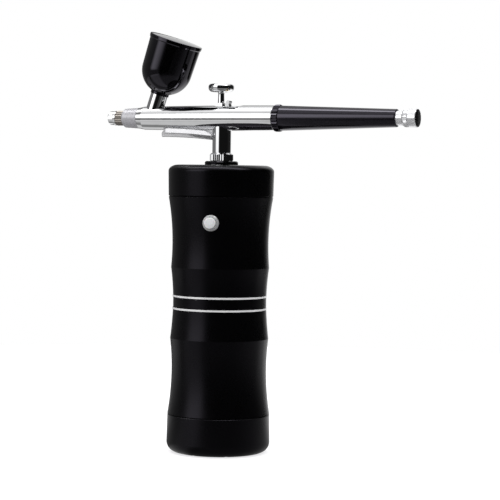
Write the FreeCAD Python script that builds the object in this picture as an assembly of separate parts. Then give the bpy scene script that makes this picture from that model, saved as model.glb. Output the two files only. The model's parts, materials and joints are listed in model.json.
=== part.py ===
"""Handheld cordless airbrush compressor with a gravity-fed airbrush on its outlet.

The frame is in millimetres. +Z is up along the compressor, and the origin is the centre of the
base's resting plane. The airbrush lies along X, with its nozzle towards -X and its tail towards
+X. The housing's front, with the power button, faces -Y turned by FRONT_TURN about Z.
Each piece of the object is one named node, written to parts/NODE.step.
"""

import FreeCAD, Part
import math
import os

from FreeCAD import Placement, Rotation, Vector

ORIGIN = Vector(0, 0, 0)
UP = Vector(0, 0, 1)
ALONG = Vector(1, 0, 0)
ACROSS = Vector(0, 1, 0)

# Gaps, as radial or face clearances.
FIT = 0.03
RUN = 0.05
TINY = 0.01

# Housing heights, from a datum that is FOOT_STAND above the resting plane.
FOOT_STAND = 1.3
UNDERSIDE_Z = -1.15
PAD_SEAT_Z = 1.8
FLOOR_TOP_Z = 4.2
BASE_SEAM_Z = 15.2
BASE_CREASE_Z = 47.8
BAND_LOW_Z = 60.2
BAND_HIGH_Z = 66.3
TRIM_HEIGHT = 0.8
TOP_CREASE_Z = 78.2
CAP_SEAM_Z = 108.6
CAP_TOP_Z = 122.0

# Housing radii.
BASE_R = 22.2
FOOT_R = 17.1
BASE_SEAM_R = 21.95
LOW_WAIST = (20.35, 35.0)
LOW_CREASE_R = 21.1
BAND_R = 20.0
TRIM_R = 20.25
SHELL_AT_TRIM_R = 20.07
HIGH_CREASE_R = 21.05
HIGH_WAIST = (20.6, 88.0)
CAP_SEAM_R = 22.4
CAP_R = 22.65
BORE_R = 18.6
SEAM_CHAMFER = 0.3
FRONT_TURN = 13.2

# Power button on the upper shell.
BUTTON_Z = 97.6
BEZEL_R = 3.45
BUTTON_R = 2.4

# Motor and diaphragm pump.
MOTOR_R = 12.2
MOTOR_Z = 50.5
MOTOR_LENGTH = 30.8
SHAFT_R = 1.0
PUMP_R = 13.5
PUMP_CAVITY_R = 11.2
PUMP_CASE_Z = MOTOR_Z + MOTOR_LENGTH
DIAPHRAGM_Z = 95.3
VALVE_PLATE_Z = 96.8
PUMP_HEAD_Z = 99.3
PUMP_TOP_Z = 104.3
PUMP_SCREW_CIRCLE_R = 12.3
PUMP_SCREW_R = 0.8
WOBBLE_CENTRE_Z = 91.0
WOBBLE_TILT = 6.0
ARM_CIRCLE_R = 7.5
CHAMBERS = 3

# Outlet.
SOCKET_BORE_R = 3.25
SOCKET_NECK_R = 4.6
COLLAR_R = 7.15
COLLAR_TOP_Z = 123.7
NUT_TOP_Z = 127.15
NUT_R = 5.0
STEM_R = 4.0
STEM_END_R = SOCKET_BORE_R - RUN
STEM_END_Z = 116.6

# Batteries and charging.
CELL_R = 8.25
CELL_LENGTH = 34.5
CELL_SPREAD = 8.4
CELL_Z = 12.9
CHARGE_BOARD_Z = 7.6
PORT_Z = 10.2

# Airbrush stations along its axis, from the trigger; negative is towards the nozzle.
AXIS_Z = 142.1
NEEDLE_CAP_S = -53.9
NOZZLE_CAP_S = -50.5
HEAD_S = -47.0
BARREL_S = -39.5
BARREL_END_S = 24.8
SPIGOT_END_S = 32.0
HANDLE_COLLAR_S = 27.6
HANDLE_END_S = 79.4
SLEEVE_END_S = 81.9
KNOB_END_S = 88.1
BARREL_LIP_R = 4.5
BARREL_FRONT_R = 5.0
BARREL_R = 5.4
NEEDLE_R = 0.6
NEEDLE_TIP_S = -53.2
NEEDLE_END_S = 50.0
HANDLE_FRONT_R = 5.33
HANDLE_BACK_R = 3.78
HANDLE_COLLAR_R = 5.75
SLEEVE_R = 3.1
KNOB_R = 3.85

# Trigger and valve.
PIVOT_Z = 134.3
BALL_R = 1.4
TRIGGER_TOP_Z = 156.7
PAD_R = 5.5
PAD_LEAD = -0.5
LEVER_PIVOT = (5.0, 139.9)
SLOT_S = (-4.0, 10.3)
SLOT_WIDTH = 3.8

# Paint cup, measured along its own tilted axis from the airbrush axis.
CUP_S = -33.5
CUP_TILT = 18.6
NECK_R = 3.75
NECK_TOP = 10.8
CUP_BOWL_R = 10.9
CUP_BOWL_H = 22.0
CUP_RIM_R = 11.25
CUP_RIM_H = 34.6
CUP_WALL = 0.7
LID_R = 11.65
LID_TOP = 35.85

NODES = {}


def node(maker):
    """Registers a maker as the node that has its name."""
    NODES[maker.__name__] = maker
    return maker


# ---------------------------------------------------------------- shape helpers


def outline(start, *steps):
    """Closed wire in the XZ plane. A step is a point (r, z), or two points that make an arc:
    one that it passes through and the one where it ends."""
    edges = []
    here = Vector(start[0], 0, start[1])
    for step in steps + (start,):
        is_arc = isinstance(step[0], tuple)
        end_r, end_z = step[1] if is_arc else step
        end = Vector(end_r, 0, end_z)
        if is_arc:
            through = Vector(step[0][0], 0, step[0][1])
            edges.append(Part.Arc(here, through, end).toShape())
        elif here.distanceToPoint(end) > 0:
            edges.append(Part.makeLine(here, end))
        here = end
    return Part.Wire(edges)


def turned(start, *steps):
    """Solid of revolution about Z."""
    return Part.Face(outline(start, *steps)).revolve(ORIGIN, UP, 360)


def crown(edge_r, edge_z, middle_z):
    """Arc step from a turned face's edge to its middle, as part of a sphere."""
    rise = middle_z - edge_z
    sphere_r = (edge_r**2 + rise**2) / (2 * rise)
    half_angle = math.asin(edge_r / sphere_r) / 2
    centre_z = middle_z - sphere_r
    through = (sphere_r * math.sin(half_angle), centre_z + sphere_r * math.cos(half_angle))
    return (through, (0, middle_z))


def soft_edge(outer_r, top_z, side_radius, top_radius, meeting_angle):
    """Steps round a turned part's top edge: a wide arc from its flat top, which runs smoothly
    into a tighter arc down to its side."""
    meeting = math.radians(meeting_angle)
    offset = top_radius - side_radius
    side_centre = (outer_r - side_radius, top_z - top_radius + offset * math.sin(meeting))
    top_centre = (side_centre[0] - offset * math.cos(meeting), top_z - top_radius)

    def on_arc(centre, radius, angle):
        return (centre[0] + radius * math.cos(angle), centre[1] + radius * math.sin(angle))

    upright = math.pi / 2
    flat_end = on_arc(top_centre, top_radius, upright)
    wide = on_arc(top_centre, top_radius, (upright + meeting) / 2)
    joint = on_arc(side_centre, side_radius, meeting)
    tight = on_arc(side_centre, side_radius, meeting / 2)
    side_start = on_arc(side_centre, side_radius, 0.0)
    return [flat_end, (wide, joint), (tight, side_start)]


def rod(radius, low, high, x=0.0, y=0.0):
    """Upright cylinder between two heights."""
    return Part.makeCylinder(radius, high - low, Vector(x, y, low), UP)


def tube(outer, inner, low, high, x=0.0, y=0.0):
    """Upright tube between two heights."""
    return rod(outer, low, high, x, y).cut(rod(inner, low - 1, high + 1, x, y))


def block(x, y, z):
    """Box from three (low, high) ranges."""
    return Part.makeBox(x[1] - x[0], y[1] - y[0], z[1] - z[0], Vector(x[0], y[0], z[0]))


def joined(first, *others):
    """One solid from touching ones."""
    return first.fuse(list(others)).removeSplitter()


def around(shape, count, start=0.0):
    """Copies of a shape, spaced evenly about Z."""
    copies = []
    for index in range(count):
        copy = shape.copy()
        copy.rotate(ORIGIN, UP, start + 360.0 * index / count)
        copies.append(copy)
    return copies


def along_barrel(shape):
    """Lays a shape that was made upright, with stations as heights, along the airbrush axis."""
    laid = shape.copy()
    laid.Placement = Placement(Vector(0, 0, AXIS_Z), Rotation(ACROSS, 90)) * laid.Placement
    return laid


def on_cup_axis(shape):
    """Sets a shape that was made upright on the paint cup's tilted axis."""
    tilted = shape.copy()
    seat = Placement(Vector(CUP_S, 0, AXIS_Z), Rotation(ACROSS, CUP_TILT))
    tilted.Placement = seat * tilted.Placement
    return tilted


def to_front(shape):
    """Turns a housing part that was made facing -Y to the housing's front."""
    faced = shape.copy()
    faced.rotate(ORIGIN, UP, FRONT_TURN)
    return faced


def out_of_front(shape):
    """Lays a shape that was made upright, with radii as heights, along the button's axis."""
    laid = shape.copy()
    laid.Placement = Placement(Vector(0, 0, BUTTON_Z), Rotation(ALONG, 90)) * laid.Placement
    return to_front(laid)


def knurled(radius, depth, count, low, high):
    """Upright rod with straight knurls: one V-shaped ridge per count."""
    corners = []
    for index in range(2 * count):
        reach = radius - depth * (index % 2)
        angle = math.pi * index / count
        corners.append(Vector(reach * math.cos(angle), reach * math.sin(angle), low))
    face = Part.Face(Part.makePolygon(corners + [corners[0]]))
    return face.extrude(Vector(0, 0, high - low))


def coil(mean_r, wire_r, low, high, turns):
    """Upright compression spring whose wire stays between two heights."""
    rise = high - low - 2 * wire_r
    helix = Part.makeHelix(rise / turns, rise, mean_r)
    section = Part.Wire(Part.makeCircle(wire_r, Vector(mean_r, 0, 0), ACROSS))
    spring = Part.Wire(helix.Edges).makePipeShell([section], True, True)
    spring.translate(Vector(0, 0, low + wire_r))
    return spring


# ---------------------------------------------------------------- housing shells


@node
def top_cap():
    """Cap over the pump, with a spigot that enters the upper shell."""
    spigot_low = CAP_SEAM_Z - 3.1
    spigot_r = 19.42
    inner_r = 20.7
    ceiling = CAP_TOP_Z - 2.4
    cap = turned(
        (SOCKET_NECK_R + FIT, ceiling),
        (SOCKET_NECK_R + FIT, CAP_TOP_Z),
        *soft_edge(CAP_R, CAP_TOP_Z, side_radius=2.2, top_radius=5.2, meeting_angle=53.0),
        (CAP_SEAM_R + 0.05, CAP_SEAM_Z + SEAM_CHAMFER),
        (CAP_SEAM_R - SEAM_CHAMFER, CAP_SEAM_Z + TINY),
        (spigot_r, CAP_SEAM_Z + TINY),
        (spigot_r, spigot_low),
        (spigot_r - 1.4, spigot_low),
        (spigot_r - 1.4, CAP_SEAM_Z + 1.0),
        (inner_r, CAP_SEAM_Z + 2.4),
        (inner_r, ceiling - 1.0),
        (inner_r - 1.0, ceiling),
    )
    return cap


@node
def upper_shell():
    """Waisted shell around the pump, with the button's hole."""
    recess_low = CAP_SEAM_Z - 3.2
    shell = turned(
        (BORE_R, BAND_HIGH_Z + TINY),
        (SHELL_AT_TRIM_R, BAND_HIGH_Z + TINY),
        ((20.36, 71.8), (HIGH_CREASE_R, TOP_CREASE_Z)),
        (HIGH_WAIST, (CAP_SEAM_R, CAP_SEAM_Z - SEAM_CHAMFER)),
        (CAP_SEAM_R - SEAM_CHAMFER, CAP_SEAM_Z),
        (19.45, CAP_SEAM_Z),
        (19.45, recess_low),
        (BORE_R, recess_low),
    )
    hole = out_of_front(rod(BEZEL_R + FIT, 15, 25))
    return shell.cut(hole)


def trim_ring(low):
    return tube(TRIM_R, BORE_R + TINY, low, low + TRIM_HEIGHT - TINY)


@node
def upper_trim_ring():
    """Bright ring between the band and the upper shell."""
    return trim_ring(BAND_HIGH_Z - TRIM_HEIGHT + TINY)


@node
def lower_trim_ring():
    """Bright ring between the band and the lower shell."""
    return trim_ring(BAND_LOW_Z + TINY)


@node
def center_band():
    """Black band whose spigots join the two shells."""
    spigot_r = BORE_R - FIT
    bore_r = 16.4
    low = BAND_LOW_Z + TRIM_HEIGHT + TINY
    high = BAND_HIGH_Z - TRIM_HEIGHT
    reach = 5.0
    return turned(
        (bore_r, low - reach),
        (spigot_r, low - reach),
        (spigot_r, low),
        (BAND_R, low),
        (BAND_R, high),
        (spigot_r, high),
        (spigot_r, high + reach),
        (bore_r, high + reach),
    )


@node
def lower_shell():
    """Waisted shell around the batteries."""
    return turned(
        (BORE_R, BASE_SEAM_Z + TINY),
        (BASE_SEAM_R - SEAM_CHAMFER, BASE_SEAM_Z + TINY),
        (BASE_SEAM_R, BASE_SEAM_Z + SEAM_CHAMFER),
        (LOW_WAIST, (LOW_CREASE_R, BASE_CREASE_Z)),
        ((20.44, 54.2), (SHELL_AT_TRIM_R, BAND_LOW_Z)),
        (BORE_R, BAND_LOW_Z),
    )


# The charging port's opening, and the cover's hinge, in the frame that faces -Y.
COVER_HALF_WIDTH = 6.0
COVER_Z = (PORT_Z - 3.0, PORT_Z + 3.0)
COVER_OUTER_R = 22.05
COVER_INNER_R = 21.15
COVER_MID_R = (COVER_OUTER_R + COVER_INNER_R) / 2
KNUCKLE_R = (COVER_OUTER_R - COVER_INNER_R) / 2
HINGE_XY = (COVER_HALF_WIDTH, math.sqrt(COVER_MID_R**2 - COVER_HALF_WIDTH**2))
HINGE_PIN_R = 0.35
HINGE_PIN_REACH = 0.8
SCREW_SPREAD = 12.6
SCREW_HEAD_Z = (PAD_SEAT_Z + 0.05, PAD_SEAT_Z + 1.2)
INLETS = 8
INLET_CIRCLE_R = 8.2


def inlet_holes():
    """Air inlets through the base and its foot pad."""
    return around(rod(1.1, -2, 6, x=INLET_CIRCLE_R), INLETS, start=22.5)


def air_grooves():
    """Grooves under the base and its foot pad, from the inlets out to the edge."""
    groove = block((INLET_CIRCLE_R - 1.0, BASE_R + 1), (-0.8, 0.8), (-2.0, UNDERSIDE_Z + 0.3))
    return around(groove, INLETS, start=22.5)


def port_recess():
    """Space in the base for the port, its cover and the cover's hinge pin."""
    x_range = (-COVER_HALF_WIDTH - 0.25, COVER_HALF_WIDTH + KNUCKLE_R + 0.15)
    z_range = (COVER_Z[0] - 0.15, COVER_Z[1] + 0.15)
    pocket = tube(30.0, COVER_INNER_R - 0.08, z_range[0], z_range[1])
    pocket = pocket.common(block(x_range, (10, 30), z_range))
    knuckle_room = rod(KNUCKLE_R + 0.12, z_range[0], z_range[1], *HINGE_XY)
    pin_low = COVER_Z[0] - HINGE_PIN_REACH - 0.05
    pin_high = COVER_Z[1] + HINGE_PIN_REACH + 0.05
    pin_room = rod(HINGE_PIN_R + RUN, pin_low, pin_high, *HINGE_XY)
    window = block((-4.8, 4.8), (10, 30), (PORT_Z - 1.85, PORT_Z + 1.85))
    return pocket.fuse([knuckle_room, pin_room, window])


@node
def base_cap():
    """Base with air inlet holes, two screw holes and the charging port's recess."""
    edge = 4.5
    bend = edge * (1 - math.cos(math.pi / 4))
    spigot_r = BORE_R - FIT
    spigot_inner_r = 17.2
    body = turned(
        (0, PAD_SEAT_Z),
        (FOOT_R + 0.05, PAD_SEAT_Z),
        (FOOT_R + 0.05, UNDERSIDE_Z),
        (BASE_R - edge, UNDERSIDE_Z),
        ((BASE_R - bend, UNDERSIDE_Z + bend), (BASE_R, UNDERSIDE_Z + edge)),
        (BASE_SEAM_R, BASE_SEAM_Z - SEAM_CHAMFER),
        (BASE_SEAM_R - SEAM_CHAMFER, BASE_SEAM_Z),
        (spigot_r, BASE_SEAM_Z),
        (spigot_r, BASE_SEAM_Z + 4.3),
        (spigot_inner_r, BASE_SEAM_Z + 4.3),
        (spigot_inner_r, BASE_SEAM_Z - 2.0),
        (19.6, BASE_SEAM_Z - 4.4),
        (19.6, FLOOR_TOP_Z + 0.8),
        (18.8, FLOOR_TOP_Z),
        (0, FLOOR_TOP_Z),
    )
    holes = inlet_holes() + air_grooves()
    for side in (-1, 1):
        holes.append(rod(1.15, -2, 5, x=side * SCREW_SPREAD))
        holes.append(rod(2.05, -2, SCREW_HEAD_Z[1] + FIT, x=side * SCREW_SPREAD))
    return to_front(body.cut(holes + [port_recess()]))


@node
def foot_pad():
    """Rubber pad under the base, with air holes and grooves that let air in to them."""
    resting_z = -FOOT_STAND
    pad = turned(
        (0, resting_z),
        (FOOT_R - 0.4, resting_z),
        ((FOOT_R - 0.12, resting_z + 0.12), (FOOT_R, resting_z + 0.4)),
        (FOOT_R, PAD_SEAT_Z - FIT),
        (0, PAD_SEAT_Z - FIT),
    )
    return to_front(pad.cut(inlet_holes() + air_grooves()))


@node
def base_screws():
    """Two screws that hold the base to the battery holder, under the foot pad."""
    low, high = SCREW_HEAD_Z
    screws = []
    for side in (-1, 1):
        x = side * SCREW_SPREAD
        head = rod(1.9, low, high, x=x)
        shank = rod(1.0, high, 10.0, x=x)
        slot_a = block((x - 1.2, x + 1.2), (-0.2, 0.2), (0, low + 0.6))
        slot_b = block((x - 0.2, x + 0.2), (-1.2, 1.2), (0, low + 0.6))
        screws.append(to_front(joined(head, shank).cut([slot_a, slot_b])))
    return Part.makeCompound(screws)


@node
def usb_port():
    """Charging port's metal shell with its tongue."""
    front = 19.4
    shell = block((-4.47, 4.47), (front - 7.3, front), (PORT_Z - 1.6, PORT_Z + 1.6))
    vertical_edges = [e for e in shell.Edges if abs(e.tangentAt(0).y) > 0.9]
    shell = shell.makeFillet(1.5, vertical_edges)
    mouth = block((-4.17, 4.17), (front - 6.4, front + 1), (PORT_Z - 1.3, PORT_Z + 1.3))
    mouth_edges = [e for e in mouth.Edges if abs(e.tangentAt(0).y) > 0.9]
    mouth = mouth.makeFillet(1.25, mouth_edges)
    tongue = block((-3.3, 3.3), (front - 6.6, front - 1), (PORT_Z - 0.35, PORT_Z + 0.35))
    return to_front(joined(shell.cut(mouth), tongue))


@node
def usb_cover():
    """Door over the charging port, with its own hinge pins."""
    skin = tube(COVER_OUTER_R, COVER_INNER_R, *COVER_Z)
    skin = skin.common(block((-COVER_HALF_WIDTH, COVER_HALF_WIDTH), (10, 30), COVER_Z))
    knuckle = rod(KNUCKLE_R, COVER_Z[0], COVER_Z[1], *HINGE_XY)
    pin_low = COVER_Z[0] - HINGE_PIN_REACH
    pin_high = COVER_Z[1] + HINGE_PIN_REACH
    pin = rod(HINGE_PIN_R, pin_low, pin_high, *HINGE_XY)
    nail_groove = rod(0.35, COVER_Z[0] + 1.2, COVER_Z[1] - 1.2, -4.6, 21.45)
    return to_front(joined(skin, knuckle, pin).cut(nail_groove))


# ---------------------------------------------------------------- power


def battery_columns(radius, low, high):
    """The two upright cylinders that the cells fill."""
    return [rod(radius, low, high, x=side * CELL_SPREAD) for side in (-1, 1)]


@node
def battery_cells():
    """Two lithium cells, each with its raised positive end."""
    cells = []
    for side in (-1, 1):
        x = side * CELL_SPREAD
        can = rod(CELL_R, CELL_Z, CELL_Z + CELL_LENGTH - 1.0, x=x)
        tip_z = CELL_Z + CELL_LENGTH
        tip = rod(2.6, tip_z - 1.0, tip_z, x=x)
        cells.append(to_front(joined(can, tip)))
    return Part.makeCompound(cells)


@node
def battery_holder():
    """End plates and ribs that hold the cells, with bosses for the base screws."""
    plate_r = 17.0
    low_plate = rod(plate_r, CELL_Z - 2.0, CELL_Z - 0.5)
    top_z = CELL_Z + CELL_LENGTH + 0.5
    high_plate = rod(plate_r, top_z, top_z + 1.6).cut(rod(2.5, top_z - 1, top_z + 3))
    ribs = []
    for y in ((-14.2, -10.4), (10.4, 14.2)):
        ribs.append(block((-4.0, 4.0), y, (CELL_Z - 1.0, top_z + 1.0)))
    boss_low = FLOOR_TOP_Z + TINY
    bosses = [rod(2.6, boss_low, CELL_Z - 1.0, x=side * SCREW_SPREAD) for side in (-1, 1)]
    holder = joined(low_plate, high_plate, *ribs, *bosses)
    threads = [rod(1.0 + FIT, 3.0, 10.5, x=side * SCREW_SPREAD) for side in (-1, 1)]
    port_room = block((-5.2, 5.2), (11.0, 20.0), (CHARGE_BOARD_Z, PORT_Z + 2.0))
    return to_front(holder.cut(threads + [port_room]))


@node
def battery_contacts():
    """Nickel strips: one across the top of both cells and one under each cell."""
    tip_z = CELL_Z + CELL_LENGTH
    bridge = block((-11.5, 11.5), (-2.5, 2.5), (tip_z + 0.05, tip_z + 0.4))
    strips = [bridge]
    for side in (-1, 1):
        x = side * CELL_SPREAD
        strips.append(block((x - 3.5, x + 3.5), (-2.5, 2.5), (CELL_Z - 0.4, CELL_Z - 0.05)))
    return to_front(Part.makeCompound(strips))


@node
def charge_board():
    """Charging circuit board, with its controller and coil on top."""
    top = CHARGE_BOARD_Z + 1.0
    board = block((-8.0, 8.0), (-15.0, 16.5), (CHARGE_BOARD_Z, top))
    chip = block((-2.5, 2.5), (0.0, 5.0), (top, top + 1.0))
    coil_block = block((-3.0, 3.0), (-9.0, -3.0), (top, top + 1.6))
    return to_front(joined(board, chip, coil_block))


@node
def control_board():
    """Upright board behind the button."""
    return to_front(block((-8.0, 8.0), (-15.0, -14.0), (85.0, 105.0)))


@node
def tact_switch():
    """Push switch on the control board, under the button."""
    low, high = BUTTON_Z - 3.0, BUTTON_Z + 3.0
    case = to_front(block((-3.0, 3.0), (-17.0, -15.0 - TINY), (low, high)))
    return joined(case, out_of_front(rod(1.5, 16.9, 17.6)))


@node
def button_bezel():
    """Bright sloped ring around the button, pressed into the upper shell."""
    ring = turned(
        (BUTTON_R + RUN, 19.1),
        (2.95, 19.1),
        (2.95, 18.2),
        (BEZEL_R, 18.2),
        (BEZEL_R, 21.3),
        ((BEZEL_R - 0.15, 21.75), (BEZEL_R - 0.55, 22.0)),
        (BUTTON_R + 0.35, 22.35),
        (BUTTON_R + RUN, 22.2),
    )
    return out_of_front(ring)


@node
def power_button():
    """Push button with a crowned face and a flange behind the bezel."""
    face_r = BUTTON_R
    button = turned(
        (0, 18.3),
        (2.85, 18.3),
        (2.85, 19.0),
        (face_r, 19.0),
        (face_r, 23.2),
        ((face_r - 0.12, 23.47), (face_r - 0.4, 23.6)),
        crown(face_r - 0.4, 23.6, 23.77),
    )
    return out_of_front(button)


# ---------------------------------------------------------------- motor and pump


@node
def motor_mount():
    """Rubber sleeve whose ribs centre the motor in the band."""
    sleeve = tube(13.6, MOTOR_R + TINY, 57.0, 69.0)
    rib = block((13.0, 16.35), (-1.2, 1.2), (57.0, 69.0))
    rib = rib.common(rod(16.37, 57.0, 69.0))
    return joined(sleeve, *around(rib, 6))


@node
def motor_can():
    """Drawn steel can, closed at the shaft end."""
    wall = 1.0
    top = MOTOR_Z + MOTOR_LENGTH - TINY
    return turned(
        (SHAFT_R + RUN, top - 1.6),
        (SHAFT_R + RUN, top),
        (MOTOR_R - 0.8, top),
        ((MOTOR_R - 0.23, top - 0.23), (MOTOR_R, top - 0.8)),
        (MOTOR_R, MOTOR_Z + 1.5),
        (MOTOR_R - wall, MOTOR_Z + 1.5),
        (MOTOR_R - wall, top - 1.6),
    )


@node
def motor_end_cap():
    """Insulating end cap with the brushes' terminals."""
    plate = turned(
        (SHAFT_R + RUN, MOTOR_Z),
        (MOTOR_R - 0.4, MOTOR_Z),
        (MOTOR_R - 0.4, MOTOR_Z + 1.45),
        (MOTOR_R - 1.05, MOTOR_Z + 1.45),
        (MOTOR_R - 1.05, MOTOR_Z + 3.0),
        (SHAFT_R + RUN, MOTOR_Z + 3.0),
    )
    tabs = []
    for side in (-1, 1):
        x = side * 8.0
        tabs.append(block((x - 1.4, x + 1.4), (-0.25, 0.25), (MOTOR_Z + 2.0, MOTOR_Z + 5.5)))
    return joined(plate, *tabs)


@node
def motor_rotor():
    """Three-pole armature on the shaft."""
    core = rod(9.8, 57.5, 76.0)
    slot = block((5.0, 11.0), (-1.0, 1.0), (57.0, 77.0))
    winding_room = tube(8.4, 3.0, 57.0, 60.0)
    bore = rod(SHAFT_R + TINY, 57.0, 77.0)
    return core.cut(around(slot, 3) + [winding_room, bore])


@node
def motor_shaft():
    """Steel shaft through the motor into the cam."""
    return rod(SHAFT_R, MOTOR_Z + 0.2, 87.0)


def tilted_about_centre(shape):
    """Tilts a shape about the point where the cam pin crosses the motor axis."""
    leaned = shape.copy()
    leaned.rotate(Vector(0, 0, WOBBLE_CENTRE_Z), ACROSS, WOBBLE_TILT)
    return leaned


@node
def eccentric_cam():
    """Cam on the motor shaft, whose slanted pin drives the wobble plate."""
    cam = rod(5.0, PUMP_CASE_Z + 2.3, 88.2)
    pin = tilted_about_centre(rod(0.8, 86.5, 93.2))
    bore = rod(SHAFT_R + TINY, 80.0, 87.01)
    return joined(cam, pin).cut(bore)


@node
def wobble_plate():
    """Three-armed plate that nods on the slanted pin and works the diaphragms."""
    low, high = WOBBLE_CENTRE_Z - 0.7, WOBBLE_CENTRE_Z + 0.7
    hub = rod(2.2, WOBBLE_CENTRE_Z - 1.7, WOBBLE_CENTRE_Z + 1.6)
    arm = block((0, ARM_CIRCLE_R), (-1.5, 1.5), (low, high))
    pad = rod(2.9, low, high, x=ARM_CIRCLE_R)
    hole = rod(1.7, low - 1, high + 1, x=ARM_CIRCLE_R)
    solid = joined(hub, *around(arm, CHAMBERS), *around(pad, CHAMBERS))
    bore = rod(0.8 + RUN, 80.0, 100.0)
    return tilted_about_centre(solid.cut(around(hole, CHAMBERS) + [bore]))


def pump_screw_holes(low, high):
    hole = rod(PUMP_SCREW_R + FIT, low, high, x=PUMP_SCREW_CIRCLE_R)
    return around(hole, CHAMBERS, start=60.0)


@node
def pump_case():
    """Cup that holds the cam and the wobble plate, open at the top."""
    floor_top = PUMP_CASE_Z + 1.7
    case = turned(
        (3.4, PUMP_CASE_Z),
        (PUMP_R, PUMP_CASE_Z),
        (PUMP_R, DIAPHRAGM_Z - TINY),
        (PUMP_CAVITY_R, DIAPHRAGM_Z - TINY),
        (PUMP_CAVITY_R, floor_top),
        (3.4, floor_top),
    )
    return case.cut(pump_screw_holes(87.0, 97.0))


@node
def diaphragm_set():
    """Rubber diaphragm sheet with its chambers and their stems."""
    sheet = rod(PUMP_R, DIAPHRAGM_Z, VALVE_PLATE_Z - TINY)
    chamber = rod(3.4, 93.7, DIAPHRAGM_Z + 0.2, x=ARM_CIRCLE_R)
    stem = rod(0.9, 89.0, 94.0, x=ARM_CIRCLE_R)
    hollow = rod(2.7, 94.5, VALVE_PLATE_Z + 1, x=ARM_CIRCLE_R)
    solid = joined(sheet, *around(chamber, CHAMBERS), *around(stem, CHAMBERS))
    return solid.cut(around(hollow, CHAMBERS) + pump_screw_holes(94.0, 98.0))


@node
def valve_plate():
    """Plate with an inlet and an outlet hole for each chamber."""
    plate = rod(PUMP_R, VALVE_PLATE_Z, PUMP_HEAD_Z - TINY)
    inlet = rod(0.6, VALVE_PLATE_Z - 1, PUMP_HEAD_Z + 1, x=ARM_CIRCLE_R + 1.3)
    outlet = rod(0.6, VALVE_PLATE_Z - 1, PUMP_HEAD_Z + 1, x=ARM_CIRCLE_R - 4.0)
    holes = around(inlet, CHAMBERS) + around(outlet, CHAMBERS)
    return plate.cut(holes + pump_screw_holes(96.0, 100.0))


@node
def pump_head():
    """Head with the collecting chamber and the outlet spout."""
    nipple_top = 108.0
    head = turned(
        (0.9, PUMP_HEAD_Z + 2.4),
        (5.2, PUMP_HEAD_Z + 2.4),
        (5.2, PUMP_HEAD_Z),
        (PUMP_R, PUMP_HEAD_Z),
        (PUMP_R, PUMP_TOP_Z - 1.0),
        (PUMP_R - 1.0, PUMP_TOP_Z),
        (1.9, PUMP_TOP_Z),
        (1.9, nipple_top - 0.4),
        (1.5, nipple_top),
        (0.9, nipple_top),
    )
    heads = around(rod(1.35, 103.3, 106.0, x=PUMP_SCREW_CIRCLE_R), CHAMBERS, start=60.0)
    return head.cut(pump_screw_holes(98.0, 104.0) + heads)


@node
def pump_screws():
    """Three screws that clamp head, valve plate and diaphragm to the case."""
    shank = rod(PUMP_SCREW_R, 87.3, 103.4, x=PUMP_SCREW_CIRCLE_R)
    head = rod(1.3, 103.32, 104.5, x=PUMP_SCREW_CIRCLE_R)
    slot = block((10.0, 14.6), (-0.2, 0.2), (104.1, 105.0))
    screw = joined(shank, head).cut(slot)
    return Part.makeCompound(around(screw, CHAMBERS, start=60.0))


@node
def outlet_tube():
    """Silicone tube from the pump's spout to the outlet socket."""
    return tube(3.0, 1.9 + TINY, PUMP_TOP_Z + 0.3, 111.9)


# ---------------------------------------------------------------- outlet


@node
def outlet_socket():
    """Brass socket in the top cap, which takes the airbrush's valve stem."""
    ceiling = CAP_TOP_Z - 2.4
    seat_z = 115.5
    socket = turned(
        (0.9, 108.6),
        (1.9, 108.6),
        (1.9, 112.0),
        (5.2, 112.0),
        (5.2, ceiling - 1.6),
        (7.4, ceiling - 1.6),
        (7.4, ceiling - TINY),
        (SOCKET_NECK_R, ceiling - TINY),
        (SOCKET_NECK_R, 123.1),
        (SOCKET_BORE_R, 123.1),
        (SOCKET_BORE_R, seat_z),
        (0.9, seat_z),
    )
    return socket


@node
def socket_oring():
    """O-ring under the valve stem's end."""
    return Part.makeTorus(2.55, 0.5, Vector(0, 0, 116.02), UP)


@node
def outlet_collar():
    """Black collar that clamps the socket in the top cap."""
    return turned(
        (SOCKET_NECK_R + FIT, CAP_TOP_Z + TINY),
        (COLLAR_R - 0.2, CAP_TOP_Z + TINY),
        (COLLAR_R, CAP_TOP_Z + 0.25),
        (COLLAR_R, COLLAR_TOP_Z - 0.5),
        (COLLAR_R - 0.5, COLLAR_TOP_Z),
        (SOCKET_BORE_R + 0.1, COLLAR_TOP_Z),
        (SOCKET_BORE_R + 0.1, 123.15),
        (SOCKET_NECK_R + FIT, 123.15),
    )


@node
def lock_nut():
    """Knurled nut on the valve stem, which tightens down on the collar."""
    low = COLLAR_TOP_Z + 0.05
    high = NUT_TOP_Z - 0.05
    ridges = knurled(NUT_R, 0.28, 32, low, high)
    trim = turned(
        (0, low),
        (NUT_R - 0.35, low),
        (NUT_R, low + 0.35),
        (NUT_R, high - 0.7),
        (NUT_R - 0.7, high),
        (0, high),
    )
    return ridges.common(trim).cut(rod(STEM_END_R + RUN, low - 1, high + 1))


# ---------------------------------------------------------------- airbrush body


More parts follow.
